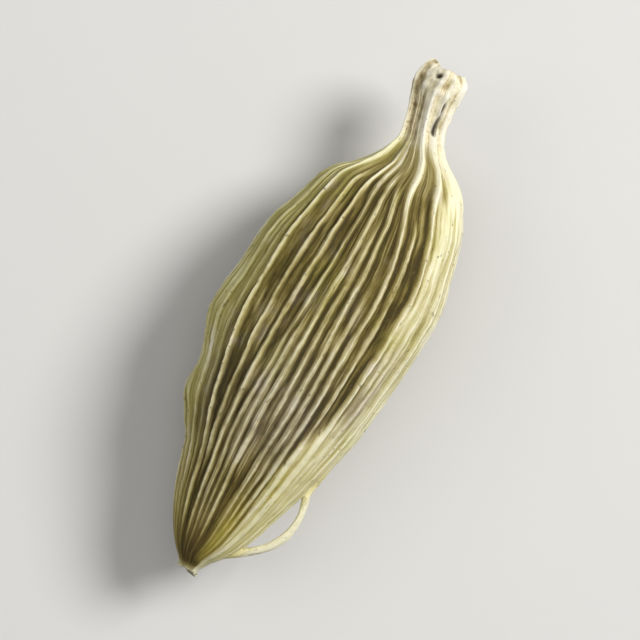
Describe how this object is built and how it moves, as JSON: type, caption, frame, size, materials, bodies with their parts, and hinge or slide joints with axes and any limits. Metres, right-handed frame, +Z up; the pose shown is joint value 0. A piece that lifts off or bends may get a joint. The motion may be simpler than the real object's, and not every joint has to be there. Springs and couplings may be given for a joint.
{
  "type": "green cardamom pod",
  "caption": "Dried green cardamom pod lying on its side: a ribbed three-sided capsule with a bent stalk stub, a blunt tip and a lifted husk fibre.",
  "frame": {"origin": "middle of the pod's box in X and Y, on the plane that the pod rests on", "axes": "+X from the tip to the stalk, +Z up, away from the surface that the pod lies on"},
  "size_m": [0.021, 0.0078, 0.0069],
  "materials": {
    "husk": "dry ribbed plant husk, pale straw on the rib crests and dark olive in the furrows, matt"
  },
  "bodies": {
    "root": {"cardamom_pod": "husk"}
  },
  "joints": []
}
